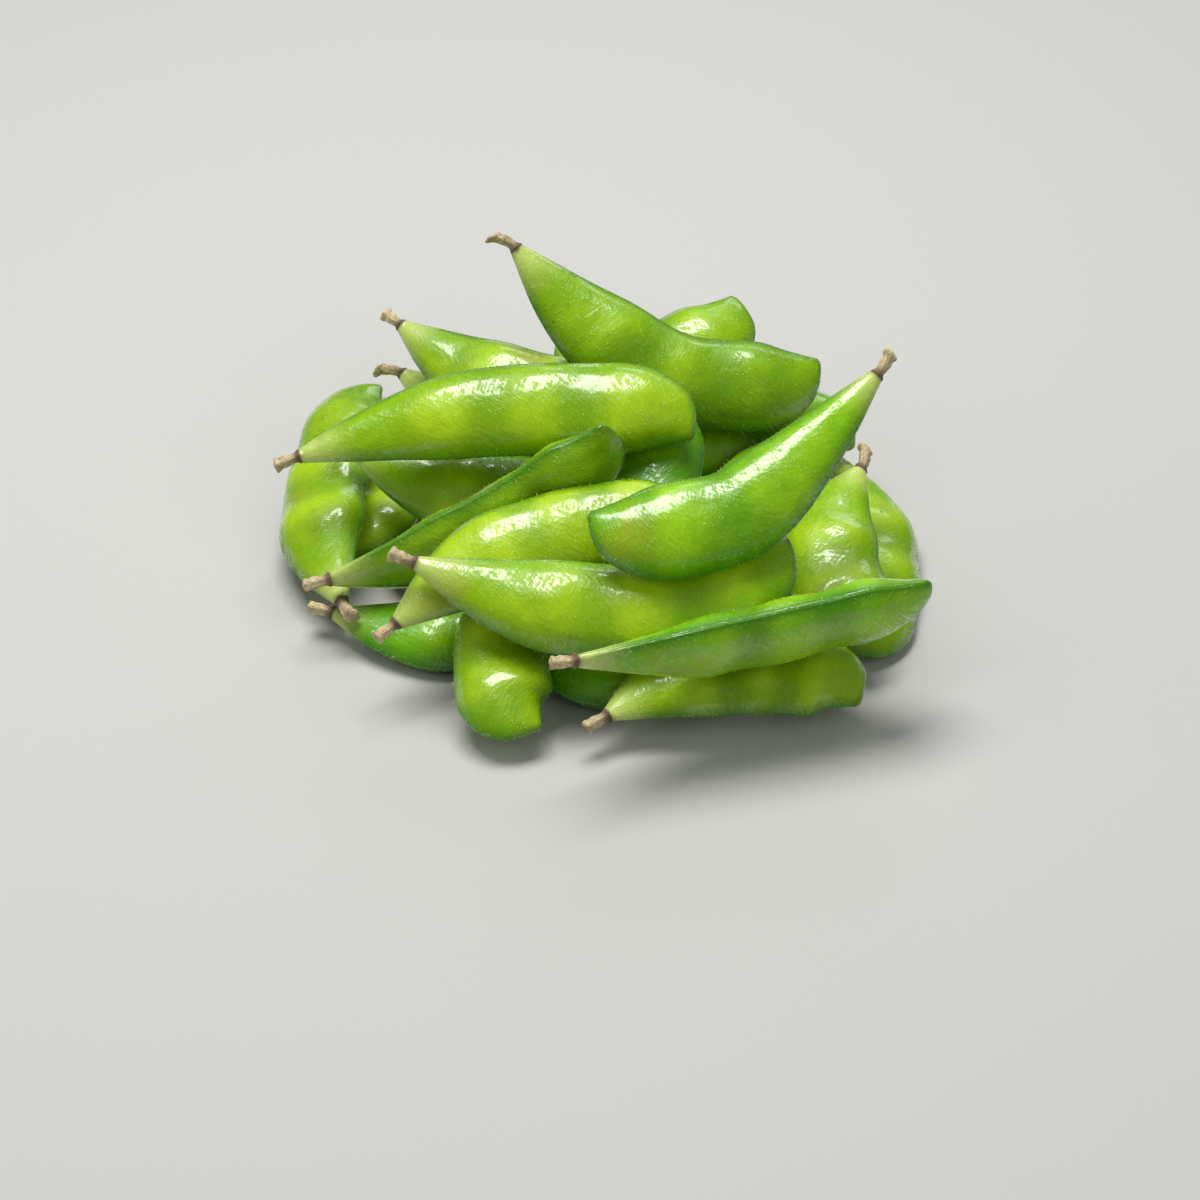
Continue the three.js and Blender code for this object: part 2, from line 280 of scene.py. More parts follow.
class PodForm:
    """The shape of one pod in its own frame, in millimetres.

    x runs from the stub's end to the beak, y across to a seam, z out of the flat face.
    """

    SEED = 700
    LAST_SHARE = 0.999  # the body closes just short of its end
    CROWDING = 0.81
    SOFTENING = 7  # over how many stations a heading is averaged
    WAVE_SHARE = 0.35  # how much one wave adds to the lumps
    THINNEST = 0.05  # a cut counts as no thinner than this

    def __init__(self, pod: LaidPod, number: int) -> None:
        """Keeps the pod and starts its own random draw."""
        self.pod = pod
        self.rng = np.random.default_rng(self.SEED + number)
        self.body_start = GROWTH.stub_length / pod.length

    def centres(self, u: Array) -> Array:
        """Middles of the body's cuts at shares u."""
        s = self.body_start + (1 - self.body_start) * u
        lean = GROWTH.cut(u, self.pod)[2]
        across = self.pod.bow * GROWTH.bend(s) + np.sign(self.pod.bow) * lean
        return np.stack([self.pod.length * s, across, np.zeros_like(u)], 1)

    def landmarks(self) -> Array:
        """The corners of the pod's coarse solid."""
        u = np.array(GROWTH.rings)
        body = self.centres(u)
        width, thickness, _ = GROWTH.cut(u, self.pod)
        along = self._unit(body[1] - body[0])
        backs = np.array(GROWTH.stub_backs)[:, None] * GROWTH.stub_length
        middles = np.vstack([body[0] - along * backs, body])
        radii = np.array(GROWTH.stub_swells) * GROWTH.stub_radius
        width = np.concatenate([radii, width])
        thickness = np.concatenate([radii, thickness])
        angle = 2 * math.pi * np.arange(GROWTH.sides) / GROWTH.sides
        rings = self._rings(middles, self._headings(middles), width, thickness, angle)
        nose = body[-1] + self._unit(body[-1] - body[-2]) * GROWTH.beak
        return np.vstack([rings.reshape(-1, 3), middles[:1], nose[None]])

    def skin(self, detail: SkinDetail, stub_detail: StubDetail) -> "PodSkin":
        """Builds the smooth skin.

        Args:
            detail: The sizes of what the skin adds to the body.
            stub_detail: The sizes of what it adds to the stub.

        Returns:
            The skin's points and what the finishes need to know at each of them.
        """
        u = self._shares(detail.body_stations)
        body = self.centres(u)
        width, thickness, _ = GROWTH.cut(u, self.pod)
        heading = self._smooth_heading(u)
        stub, stub_radius, back = self._stub(body, detail.stub_stations, stub_detail)
        angle = self._angles(detail)
        root = np.full(len(back), heading[0])
        middles = np.vstack([stub, body])
        headings = np.concatenate([root, heading])
        rings = self._rings(
            middles,
            headings,
            np.concatenate([stub_radius, width]),
            np.concatenate([stub_radius, thickness]),
            angle,
        )
        lift = self._body_lift(u, width, thickness, angle, detail)
        lift = np.vstack([self._stub_lift(len(back), angle, stub_detail), lift])
        rings += self._outward(width, thickness, headings, angle, lift)
        butt = stub[0] - self._unit(stub[1] - stub[0]) * stub_detail.butt
        nib = self._nib(body, detail)
        growth = np.concatenate([-back / GROWTH.stub_length, u])
        swell = np.concatenate([np.ones(len(back)), GROWTH.swelling(u, self.pod.beans)])
        full_width = np.concatenate([stub_radius, width])
        full_thickness = np.concatenate([stub_radius, thickness])
        seam = self._seam_distance(full_width, full_thickness, angle)
        return PodSkin(rings, butt, nib, growth, swell, seam, middles[:, 0])

    @staticmethod
    def _unit(v: Array) -> Array:
        """The vector at length 1."""
        return v / np.linalg.norm(v)

    @staticmethod
    def _headings(middles: Array) -> Array:
        """Angles of the line through the middles, from the one before to the one after."""
        before = np.vstack([middles[:1], middles[:-1]])
        after = np.vstack([middles[1:], middles[-1:]])
        step = after - before
        return np.arctan2(step[:, 1], step[:, 0])

    @staticmethod
    def _rings(
        middles: Array,
        headings: Array,
        width: Array,
        thickness: Array,
        angle: Array,
    ) -> Array:
        """Ellipses across a line, as an array of stations by angles by 3."""
        side = np.stack([-np.sin(headings), np.cos(headings), np.zeros_like(headings)], 1)
        out = side[:, None, :] * (width[:, None] * np.cos(angle))[:, :, None]
        out[:, :, 2] += thickness[:, None] * np.sin(angle)
        return middles[:, None, :] + out

    def _shares(self, count: int) -> Array:
        """Shares of the body, closer together towards the beak."""
        v = np.linspace(0, 1, count)
        return self.LAST_SHARE * (v + self.CROWDING * (v**3 - v**4))

    def _smooth_heading(self, u: Array) -> Array:
        """Heading of the body's line at shares u, with the coarse solid's own at its rings."""
        coarse = self._headings(self.centres(np.array(GROWTH.rings)))
        fine = np.interp(u, GROWTH.rings, coarse)
        span = self.SOFTENING
        return np.convolve(np.pad(fine, span // 2, mode="edge"), np.ones(span) / span, mode="valid")

    def _stub(self, body: Array, stations: int, detail: StubDetail) -> tuple[Array, Array, Array]:
        """The stem stub, from its cut end to the pod.

        Args:
            body: Middles of the body's stations.
            stations: How many stations the stub has.
            detail: The sizes of what the skin adds.

        Returns:
            Middles, radii and distances back from the pod.
        """
        q = np.linspace(1, detail.last_station, stations)
        back = q * detail.shown * GROWTH.stub_length
        along = self._unit(body[2] - body[0])
        turn = self.rng.uniform(0, 2 * math.pi)
        if self.pod.stub is StubEnd.HOOKED:  # towards the side that the pod bows to
            turn = 0.0 if self.pod.bow > 0 else math.pi
        off = np.array([-along[1] * math.cos(turn), along[0] * math.cos(turn), math.sin(turn)])
        curl = self.pod.stub.curl * self.rng.uniform(*detail.curl_range)
        middles = body[0] - along * back[:, None] + off * (curl * q**detail.curl_power)[:, None]
        knob = self.pod.stub.knob * self._bell(q, detail.knob_place, detail.knob_reach)
        scar = detail.scar * self._bell(q, detail.scar_place, detail.scar_reach)
        past = ((q - detail.round_off) / detail.round_reach).clip(0, 1)
        cut_end = np.sqrt(np.clip(1 - past**2, detail.smallest_cut, 1))
        girth = detail.girth + detail.knob_size * knob + detail.wave * np.cos(detail.wave_turns * q)
        return middles, GROWTH.stub_radius * girth * cut_end + scar, back

    @staticmethod
    def _bell(at: Array, place: float, reach: float) -> Array:
        """1 at a place, falling to 0 around it."""
        return np.exp(-(((at - place) / reach) ** 2))

    @staticmethod
    def _angles(detail: SkinDetail) -> Array:
        """Angles round a cut, crowded at both seams."""
        even = 2 * math.pi * np.arange(detail.sides) / detail.sides
        return even - detail.seam_crowding * np.sin(2 * even)

    def _seam_distance(self, width: Array, thickness: Array, angle: Array) -> tuple[Array, Array]:
        """How far each point of the skin is from the inner and from the outer seam."""
        near = -np.sign(self.pod.bow)
        up = thickness[:, None] * np.sin(angle)
        inner = np.hypot(width[:, None] * (1 - near * np.cos(angle)), up)
        outer = np.hypot(width[:, None] * (1 + near * np.cos(angle)), up)
        return inner, outer

    def _body_lift(
        self,
        u: Array,
        width: Array,
        thickness: Array,
        angle: Array,
        detail: SkinDetail,
    ) -> Array:
        """How far seams, beans and lumps stand out from the plain rounded body.

        Args:
            u: Shares of the body's stations.
            width: Half widths there.
            thickness: Half thicknesses there.
            angle: Angles round a cut.
            detail: The sizes of what the skin adds.

        Returns:
            A height for each point of the body's skin.
        """
        inner, outer = self._seam_distance(width, thickness, angle)
        height = np.zeros_like(inner)
        for distance, ridge in ((inner, detail.inner_ridge), (outer, detail.outer_ridge)):
            height += ridge * self._bell(distance, 0, detail.ridge_reach)
            height -= detail.pinch * self._bell(distance, detail.pinch_place, detail.pinch_reach)
        height -= detail.ridge_groove * self._bell(inner, 0, detail.groove_reach)
        swell = GROWTH.swelling(u, self.pod.beans)[:, None]
        flat = np.sin(angle)[None, :] ** 2
        growing = detail.full_relief_length - detail.smooth_length
        plump = np.clip((self.pod.length - detail.smooth_length) / growing, 0, 1)
        height += detail.bean_relief * plump * (swell - detail.level) * flat**1.5
        height += detail.lump * self._lumps(u, angle, detail.lump_waves) * flat
        at_neck = np.clip(u / detail.neck_reach, detail.neck_relief, 1)
        at_beak = np.clip((1 - u) / detail.beak_reach, detail.beak_relief, 1)
        return height * at_neck[:, None] * at_beak[:, None]

    def _stub_lift(self, stations: int, angle: Array, detail: StubDetail) -> Array:
        """How far the stub's ribs stand out, for each point of its skin."""
        (many, high), (few, low) = detail.ribs
        ribs = high * np.cos(many * angle + self.rng.uniform(0, 6)) + low * np.cos(few * angle + 1)
        return ribs[None, :] * (1 + 0.5 * np.sin(np.arange(stations))[:, None])

    @classmethod
    def _outward(
        cls,
        width: Array,
        thickness: Array,
        headings: Array,
        angle: Array,
        lift: Array,
    ) -> Array:
        """Heights turned into shifts square to the skin.

        Args:
            width: Half widths of the body.
            thickness: Half thicknesses of the body.
            headings: Headings of all stations, the stub's first.
            angle: Angles round a cut.
            lift: A height for each point, the stub's first.

        Returns:
            A shift for each point.
        """
        round_stub = np.ones(len(lift) - len(width))
        full_width = np.concatenate([round_stub, np.maximum(width, cls.THINNEST)])
        full_thickness = np.concatenate([round_stub, np.maximum(thickness, cls.THINNEST)])
        normal_side = np.cos(angle)[None, :] / full_width[:, None]
        normal_up = np.sin(angle)[None, :] / full_thickness[:, None]
        size = np.hypot(normal_side, normal_up)
        side = np.stack([-np.sin(headings), np.cos(headings), np.zeros_like(headings)], 1)
        shift = side[:, None, :] * (normal_side / size * lift)[:, :, None]
        shift[:, :, 2] += normal_up / size * lift
        return shift

    def _lumps(self, u: Array, angle: Array, waves: tuple[float, ...]) -> Array:
        """Small unevenness, from -1 to 1: a few waves across and along the body."""
        total = np.zeros((len(u), len(angle)))
        along = u[:, None] * self.pod.length
        for wave in waves:
            phase = self.rng.uniform(0, 2 * math.pi, 3)
            turns = self.rng.integers(1, 4)
            crossing = np.sin(along * 2 * math.pi / wave + turns * angle[None, :] + phase[0])
            total += crossing * np.sin(2 * angle + phase[1])[None, :] * self.WAVE_SHARE
        return total

    def _nib(self, body: Array, detail: SkinDetail) -> Array:
        """The point of the beak."""
        toward = np.array([1.0, -detail.nib_turn * np.sign(self.pod.bow), 0])
        return body[-1] + self._unit(toward) * detail.nib


@dataclass
class PodSkin:
    """A pod's smooth skin: rings of points with a point at each end."""

    rings: Array
    butt: Array
    nib: Array
    growth: Array
    swell: Array
    seam: tuple[Array, Array]
    along: Array

    def points(self) -> Array:
        """All points, ring after ring, then the stub's end and the beak's point."""
        return np.vstack([self.rings.reshape(-1, 3), self.butt[None], self.nib[None]])

    def faces(self) -> list[tuple[int, ...]]:
        """Quads between the rings and a fan at each end, all facing outwards."""
        stations, sides = self.rings.shape[:2]
        butt, nib = stations * sides, stations * sides + 1
        end = (stations - 1) * sides
        made: list[tuple[int, ...]] = []
        for k in range(sides):
            nxt = (k + 1) % sides
            made.append((butt, nxt, k))
            made.append((end + k, end + nxt, nib))
            for a in range(0, end, sides):
                made.append((a + k, a + nxt, a + sides + nxt, a + sides + k))
        return made

    def spread(self, by_station: Array) -> Array:
        """A value of each station, for every point."""
        sides = self.rings.shape[1]
        return np.concatenate([np.repeat(by_station, sides), by_station[[0, -1]]])

    def spread_points(self, by_point: Array) -> Array:
        """A value of each ring point, with its ends' added."""
        flat = by_point.reshape(-1)
        return np.concatenate([flat, flat[[0, -1]]])


class PlaceFinder:
    """Finds where a pod lies from the mesh of its solid."""

    ROUNDS = 12
    NEAR_SHARE = 0.85  # the rest may be pressed flat against the plane the heap lies on

    def __init__(self, form: PodForm, node: bpy.types.Object) -> None:
        """Reads the corners of the solid and those that the rule of growth gives."""
        mesh = node.data
        found = np.zeros(len(mesh.vertices) * 3, np.float32)
        mesh.vertices.foreach_get("co", found)
        self.found = np.unique(np.round(found.reshape(-1, 3).astype(float), 6), axis=0)
        self.own = form.landmarks() * MM

    def pose(self) -> Pose:
        """The pose whose corners lie closest to the solid's."""
        own_middle, own_axes = self._axes(self.own)
        middle, axes = self._axes(self.found)
        best: tuple[float, Array, Array] | None = None
        for flip in ((1, 1), (1, -1), (-1, 1), (-1, -1)):
            signs = np.diag([flip[0], flip[1], flip[0] * flip[1]])
            turn = axes @ signs @ own_axes.T
            miss, turn, place = self._closed_in(turn, middle - turn @ own_middle)
            if best is None or miss < best[0]:
                best = (miss, turn, place)
        log.info("placed to within %.3f mm", best[0] / MM)
        return Pose(best[1], best[2])

    @staticmethod
    def _axes(points: Array) -> tuple[Array, Array]:
        """The middle of some points and their three main axes, right-handed."""
        middle = points.mean(0)
        axes = np.linalg.eigh(np.cov((points - middle).T))[1][:, ::-1].copy()
        if np.linalg.det(axes) < 0:
            axes[:, 2] *= -1
        return middle, axes

    def _closed_in(self, turn: Array, place: Array) -> tuple[float, Array, Array]:
        """Moves the rule's corners onto the solid's nearest ones, round by round.

        Args:
            turn: The first turn.
            place: The first place.

        Returns:
            How far apart the closer corners still are, the turn and the place.
        """
        miss = math.inf
        for _ in range(self.ROUNDS):
            moved = self.own @ turn.T + place
            gaps = np.linalg.norm(moved[:, None, :] - self.found[None, :, :], axis=2)
            nearest = gaps.argmin(1)
            gap = gaps[np.arange(len(moved)), nearest]
            close = np.argsort(gap)[: int(len(gap) * self.NEAR_SHARE)]
            a, b = self.own[close], self.found[nearest[close]]
            a_middle, b_middle = a.mean(0), b.mean(0)
            u, _, vt = np.linalg.svd((a - a_middle).T @ (b - b_middle))
            keep = np.diag([1, 1, np.sign(np.linalg.det(vt.T @ u.T))])
            turn = vt.T @ keep @ u.T
            place = b_middle - turn @ a_middle
            miss = float(gap[close].mean())
        return miss, turn, place


class Signal:
    """The output of a node, so that a tree's maths is written as expressions."""

    def __init__(self, bench: "Bench", socket: bpy.types.NodeSocket) -> None:
        """Keeps the bench that adds nodes and the socket that gives the value."""
        self.bench = bench
        self.socket = socket

    def __add__(self, other: "Signal | float") -> "Signal":
        """Sum."""
        return self.bench.math("ADD", self, other)

    __radd__ = __add__

    def __mul__(self, other: "Signal | float") -> "Signal":
        """Product."""
        return self.bench.math("MULTIPLY", self, other)

    __rmul__ = __mul__

    def __sub__(self, other: "Signal | float") -> "Signal":
        """Difference."""
        return self.bench.math("SUBTRACT", self, other)

    def __rsub__(self, other: float) -> "Signal":
        """Difference from a number."""
        return self.bench.math("SUBTRACT", other, self)

    def beside(self, output: str) -> "Signal":
        """Another output of the same node."""
        return Signal(self.bench, self.socket.node.outputs[output])

    def ramp(self, start: float, end: float) -> "Signal":
        """0 up to start, 1 from end on, and smooth between; start may be the larger."""
        settings = {"interpolation_type": "SMOOTHSTEP"}
        low, high, first, last = (start, end, 0.0, 1.0) if start < end else (end, start, 1.0, 0.0)
        inputs = {"Value": self, "From Min": low, "From Max": high, "To Min": first, "To Max": last}
        return self.bench.node("ShaderNodeMapRange", settings, inputs)


Value = Signal | float | tuple[float, ...] | str | bpy.types.Material


class Bench:
    """Adds nodes to a tree."""

    def __init__(self, tree: bpy.types.NodeTree) -> None:
        """Keeps the tree."""
        self.tree = tree

    def node(
        self, kind: str, settings: dict[str, object], inputs: dict[str | int, Value],
        output: str | int = 0,
    ) -> Signal:
        """Adds a node.

        Args:
            kind: The node's type.
            settings: Its settings, which are set first.
            inputs: Values or signals for its sockets.
            output: Which of its outputs to use.

        Returns:
            The output as a signal.
        """
        made = self.tree.nodes.new(kind)
        for name, value in settings.items():
            setattr(made, name, value)
        for name, value in inputs.items():
            self.feed(made.inputs[name], value)
        return Signal(self, made.outputs[output])

    def feed(self, socket: bpy.types.NodeSocket, value: Value) -> None:
        """Links a signal to a socket, or sets a plain value on it."""
        if isinstance(value, Signal):
            self.tree.links.new(value.socket, socket)
        else:
            socket.default_value = value

    def math(self, operation: str, a: Value, b: Value) -> Signal:
        """A Math node on two values."""
        return self.node("ShaderNodeMath", {"operation": operation}, {0: a, 1: b})


class SurfaceBench(Bench):
    """Adds the nodes of one material with a Principled surface."""

    def __init__(self, name: str) -> None:
        """Makes the material."""
        self.material = bpy.data.materials.new(name)
        self.material.use_nodes = True
        super().__init__(self.material.node_tree)
        self.tree.nodes.clear()
        self.surface = self.tree.nodes.new("ShaderNodeBsdfPrincipled")
        output = self.tree.nodes.new("ShaderNodeOutputMaterial")
        self.tree.links.new(self.surface.outputs[0], output.inputs["Surface"])

    def mask(self, name: str) -> Signal:
        """A value that the mesh carries at its points."""
        settings = {"attribute_name": name, "attribute_type": "GEOMETRY"}
        return self.node("ShaderNodeAttribute", settings, {}, "Fac")

    def blended(self, under: Value, over: Value, share: Value) -> Signal:
        """Colour over laid on colour under, by a share."""
        settings = {"data_type": "RGBA", "blend_type": "MIX", "clamp_factor": True}
        return self.node("ShaderNodeMix", settings, {0: share, 6: under, 7: over}, 2)

    def noise(self, at: Signal, scale: float, detail: float = 2.0, rough: float = 0.5) -> Signal:
        """Noise from 0 to 1."""
        inputs = {"Vector": at, "Scale": scale, "Detail": detail, "Roughness": rough}
        return self.node("ShaderNodeTexNoise", {}, inputs)

    def cells(self, at: Signal, scale: float) -> Signal:
        """Distance from the nearest of many scattered points."""
        return self.node("ShaderNodeTexVoronoi", {"feature": "F1"}, {"Vector": at, "Scale": scale})

    def stretched(self, at: Signal, scale: Triple, turn: float = 0) -> Signal:
        """Coordinates turned about z and then scaled along each axis."""
        shrunk = tuple(1 / part for part in scale)
        inputs = {"Vector": at, "Scale": shrunk, "Rotation": (0.0, 0.0, turn)}
        return self.node("ShaderNodeMapping", {"vector_type": "TEXTURE"}, inputs)

    def finish(self, sockets: dict[str, Value]) -> bpy.types.Material:
        """Sets or links the surface's sockets and gives the material."""
        for name, value in sockets.items():
            self.feed(self.surface.inputs[name], value)
        return self.material


def rgb(red: float, green: float, blue: float) -> Colour:
    """A screen colour, each part from 0 to 255, as a linear colour."""
    parts = (red / 255, green / 255, blue / 255)
    linear = [c / 12.92 if c <= 0.04045 else ((c + 0.055) / 1.055) ** 2.4 for c in parts]
    return (linear[0], linear[1], linear[2], 1.0)


@dataclass(frozen=True)
class SkinPattern:
    """How fine the marks on a pod are, in marks per metre, or per centimetre along and across."""

    clouds: float = 75
    patches: float = 48
    film: float = 160
    dimples: float = 420
    dots: float = 1500
    spots: float = 170
    creases: Triple = (11.0, 1.8, 1.0)
    crease_turn: float = 0.3
    streaks: Triple = (3.0, 9.0, 1.0)
    streak_turn: float = 0.8
    bark: Triple = (4.0, 30.0, 1.0)
    bump: float = 0.5
    bump_height: float = 0.00024  # metres


@dataclass
class Marks:
    """What a finish reads at each point of the skin."""

    growth: Signal
    swell: Signal
    seam: Signal
    tint: Signal
    place: Signal
    along: Signal
    cloud: Signal
    fine: Signal
    dots: Signal

    @classmethod
    def read(cls, bench: SurfaceBench, pattern: SkinPattern) -> "Marks":
        """Adds the nodes that read the mesh and draw the finest marks."""
        growth, swell, seam, tint = (bench.mask(name) for name in ("growth", "swell", "seam", "tint"))
        place = bench.node("ShaderNodeTexCoord", {}, {}, "Object")
        along = bench.node("ShaderNodeUVMap", {"uv_map": "skin"}, {})
        cloud = bench.noise(place, pattern.clouds, 3)
        fine = bench.noise(place, pattern.dimples, 3)
        dots = bench.cells(place, pattern.dots).ramp(0.3, 0.14) * fine.ramp(0.42, 0.62)
        return cls(growth, swell, seam, tint, place, along, cloud, fine, dots)


@dataclass(frozen=True)
class PodFinish:
    """Wet cooked pod skin: its greens, and how it shines."""

    body: Colour
    light: Colour
    deep_green_and_shade: Colour
    seam: Colour = rgb(62, 122, 14)
    neck: Colour = rgb(190, 205, 112)
    blush: Colour = rgb(160, 150, 40)
    bark: Colour = rgb(156, 132, 96)
    pale_bark: Colour = rgb(222, 208, 172)
    dark_bark: Colour = rgb(70, 48, 30)
    # Pale specks of hair bases, partly painted glints of water droplets.
    speck_and_glint: Colour = rgb(205, 222, 130)
    pattern: SkinPattern = SkinPattern()

    def material(self, name: str) -> bpy.types.Material:
        """Builds the material.

        Args:
            name: Its name.

        Returns:
            The material, which reads the masks that every pod's mesh carries.
        """
        bench = SurfaceBench(name)
        marks = Marks.read(bench, self.pattern)
        body = marks.growth.ramp(-0.02, 0.02)
        grain = bench.noise(bench.stretched(marks.along, self.pattern.bark), 3.0, 4)
        colour = bench.blended(self._wood(bench, marks, grain), self._green(bench, marks), body)
        rough, wet, bump = self._shine(bench, marks, body, grain)
        return bench.finish(
            {
                "Base Color": colour,
                "Roughness": rough,
                "Normal": bump,
                "Coat Weight": wet,
                "Coat Roughness": 0.12,
                "Coat IOR": 1.5,
                "Specular IOR Level": 0.4,
                "Subsurface Weight": 0.3,
                "Subsurface Radius": (0.7, 1.0, 0.2),
                "Subsurface Scale": 0.002,
            }
        )

    def _green(self, bench: SurfaceBench, marks: Marks) -> Signal:
        """The green of the body: lighter over beans, partly painted light on their bulges; painted
        shade in the waists between beans; deeper along seams.
        """
        growth, seam, cloud = marks.growth, marks.seam, marks.cloud
        # Painted light: the middle of the face over a bean is lighter, partly the bean's own yellow
        # showing through and partly light on its bulge.
        middle = seam.ramp(1.8, 5.5) * marks.swell
        shade = (cloud + marks.tint * 0.4 + middle * 0.3 - 0.36).ramp(0.26, 0.72)
        green = bench.blended(self.body, self.light, shade)
        # Painted shade: the waists between beans, past the neck and short of the beak, are darkened
        # with the deeper green.
        waist = marks.swell.ramp(0.97, 0.5) * growth.ramp(0.25, 0.42) * growth.ramp(0.95, 0.86)
        patch = bench.noise(marks.place, self.pattern.patches, 4, 0.6)
        spots = bench.cells(marks.place, self.pattern.spots).ramp(0.075, 0.04)
        layers = (
            # painted shade in the waists; the same deeper green also gives random patches and the band
            # along the seams
            (self.deep_green_and_shade, waist * (0.06 + 0.62 * cloud)),
            (self.deep_green_and_shade, patch.ramp(0.5, 0.3) * 0.4),
            (self.blush, patch.ramp(0.58, 0.72) * 0.5),
            (self.deep_green_and_shade, seam.ramp(2.4, 0.4) * 0.55),
            (self.seam, seam.ramp(0.75, 0.35) * (0.3 + 0.7 * marks.fine)),
            (self.neck, growth.ramp(0.16, 0.0) * 0.85),
            # pale specks, partly painted glints of water droplets
            (self.speck_and_glint, marks.dots * 0.28),
            (self.dark_bark, spots * cloud.ramp(0.46, 0.56) * 0.8),
            (self.dark_bark, growth.ramp(0.992, 1.0) * 0.25),
        )
        for colour, share in layers:
            green = bench.blended(green, colour, share)
        return green

    def _wood(self, bench: SurfaceBench, marks: Marks, grain: Signal) -> Signal:
        """The bark of the stub, with a dark scar where it joins the pod."""
        wood = bench.blended(self.bark, self.pale_bark, grain.ramp(0.4, 0.62))
        ring = marks.growth.ramp(-0.34, -0.08) * marks.growth.ramp(0.035, -0.02)
        wood = bench.blended(wood, self.dark_bark, ring * (0.35 + 0.9 * grain))
        return bench.blended(wood, self.dark_bark, marks.fine.ramp(0.54, 0.7) * 0.5)

    def _shine(
        self, bench: SurfaceBench, marks: Marks, body: Signal, grain: Signal
    ) -> tuple[Signal, Signal, Signal]:
        """How the skin shines: a film of water, broken by creases and dimples.

        Args:
            bench: The material's bench.
            marks: What the mesh carries.
            body: 1 on the pod's body and 0 on its stub.
            grain: The bark's grain.

        Returns:
            Roughness, the weight of the film, and the bumped normal.
        """
        pattern = self.pattern
        crease = bench.noise(bench.stretched(marks.along, pattern.creases, pattern.crease_turn), 2.0, 3)
        streak = bench.noise(bench.stretched(marks.along, pattern.streaks, pattern.streak_turn), 2.0, 3)
        film = bench.noise(marks.place, pattern.film, 2)
        dimple = bench.noise(marks.place, pattern.dimples, 2)
        broken = (film * 0.36 + streak * 0.34 + crease * 0.3).ramp(0.45, 0.53)
        rough = 0.24 + 0.2 * (1 - broken) + (1 - body) * 0.35
        height = film * 1.7 + dimple * 0.9 + streak * 0.95 + crease * 0.5 + marks.fine * 0.3
        height = height + marks.dots * 0.5 + (1 - body) * grain * 1.5
        inputs = {"Strength": pattern.bump, "Distance": pattern.bump_height, "Height": height}
        return rough, body * broken, bench.node("ShaderNodeBump", {}, inputs, "Normal")


FINISHES = {
    Tone.FRESH: PodFinish(rgb(98, 164, 0), rgb(142, 194, 10), rgb(40, 112, 0)),
    Tone.YELLOW: PodFinish(rgb(132, 176, 0), rgb(170, 204, 22), rgb(74, 132, 0)),
    Tone.OLIVE: PodFinish(rgb(122, 168, 0), rgb(160, 198, 16), rgb(58, 114, 0)),
}


def placed_in_scene(mesh: bpy.types.Mesh) -> bpy.types.Object:
    """An object of the mesh's name, at the origin."""
    made = bpy.data.objects.new(mesh.name, mesh)
    bpy.context.scene.collection.objects.link(made)
    return made


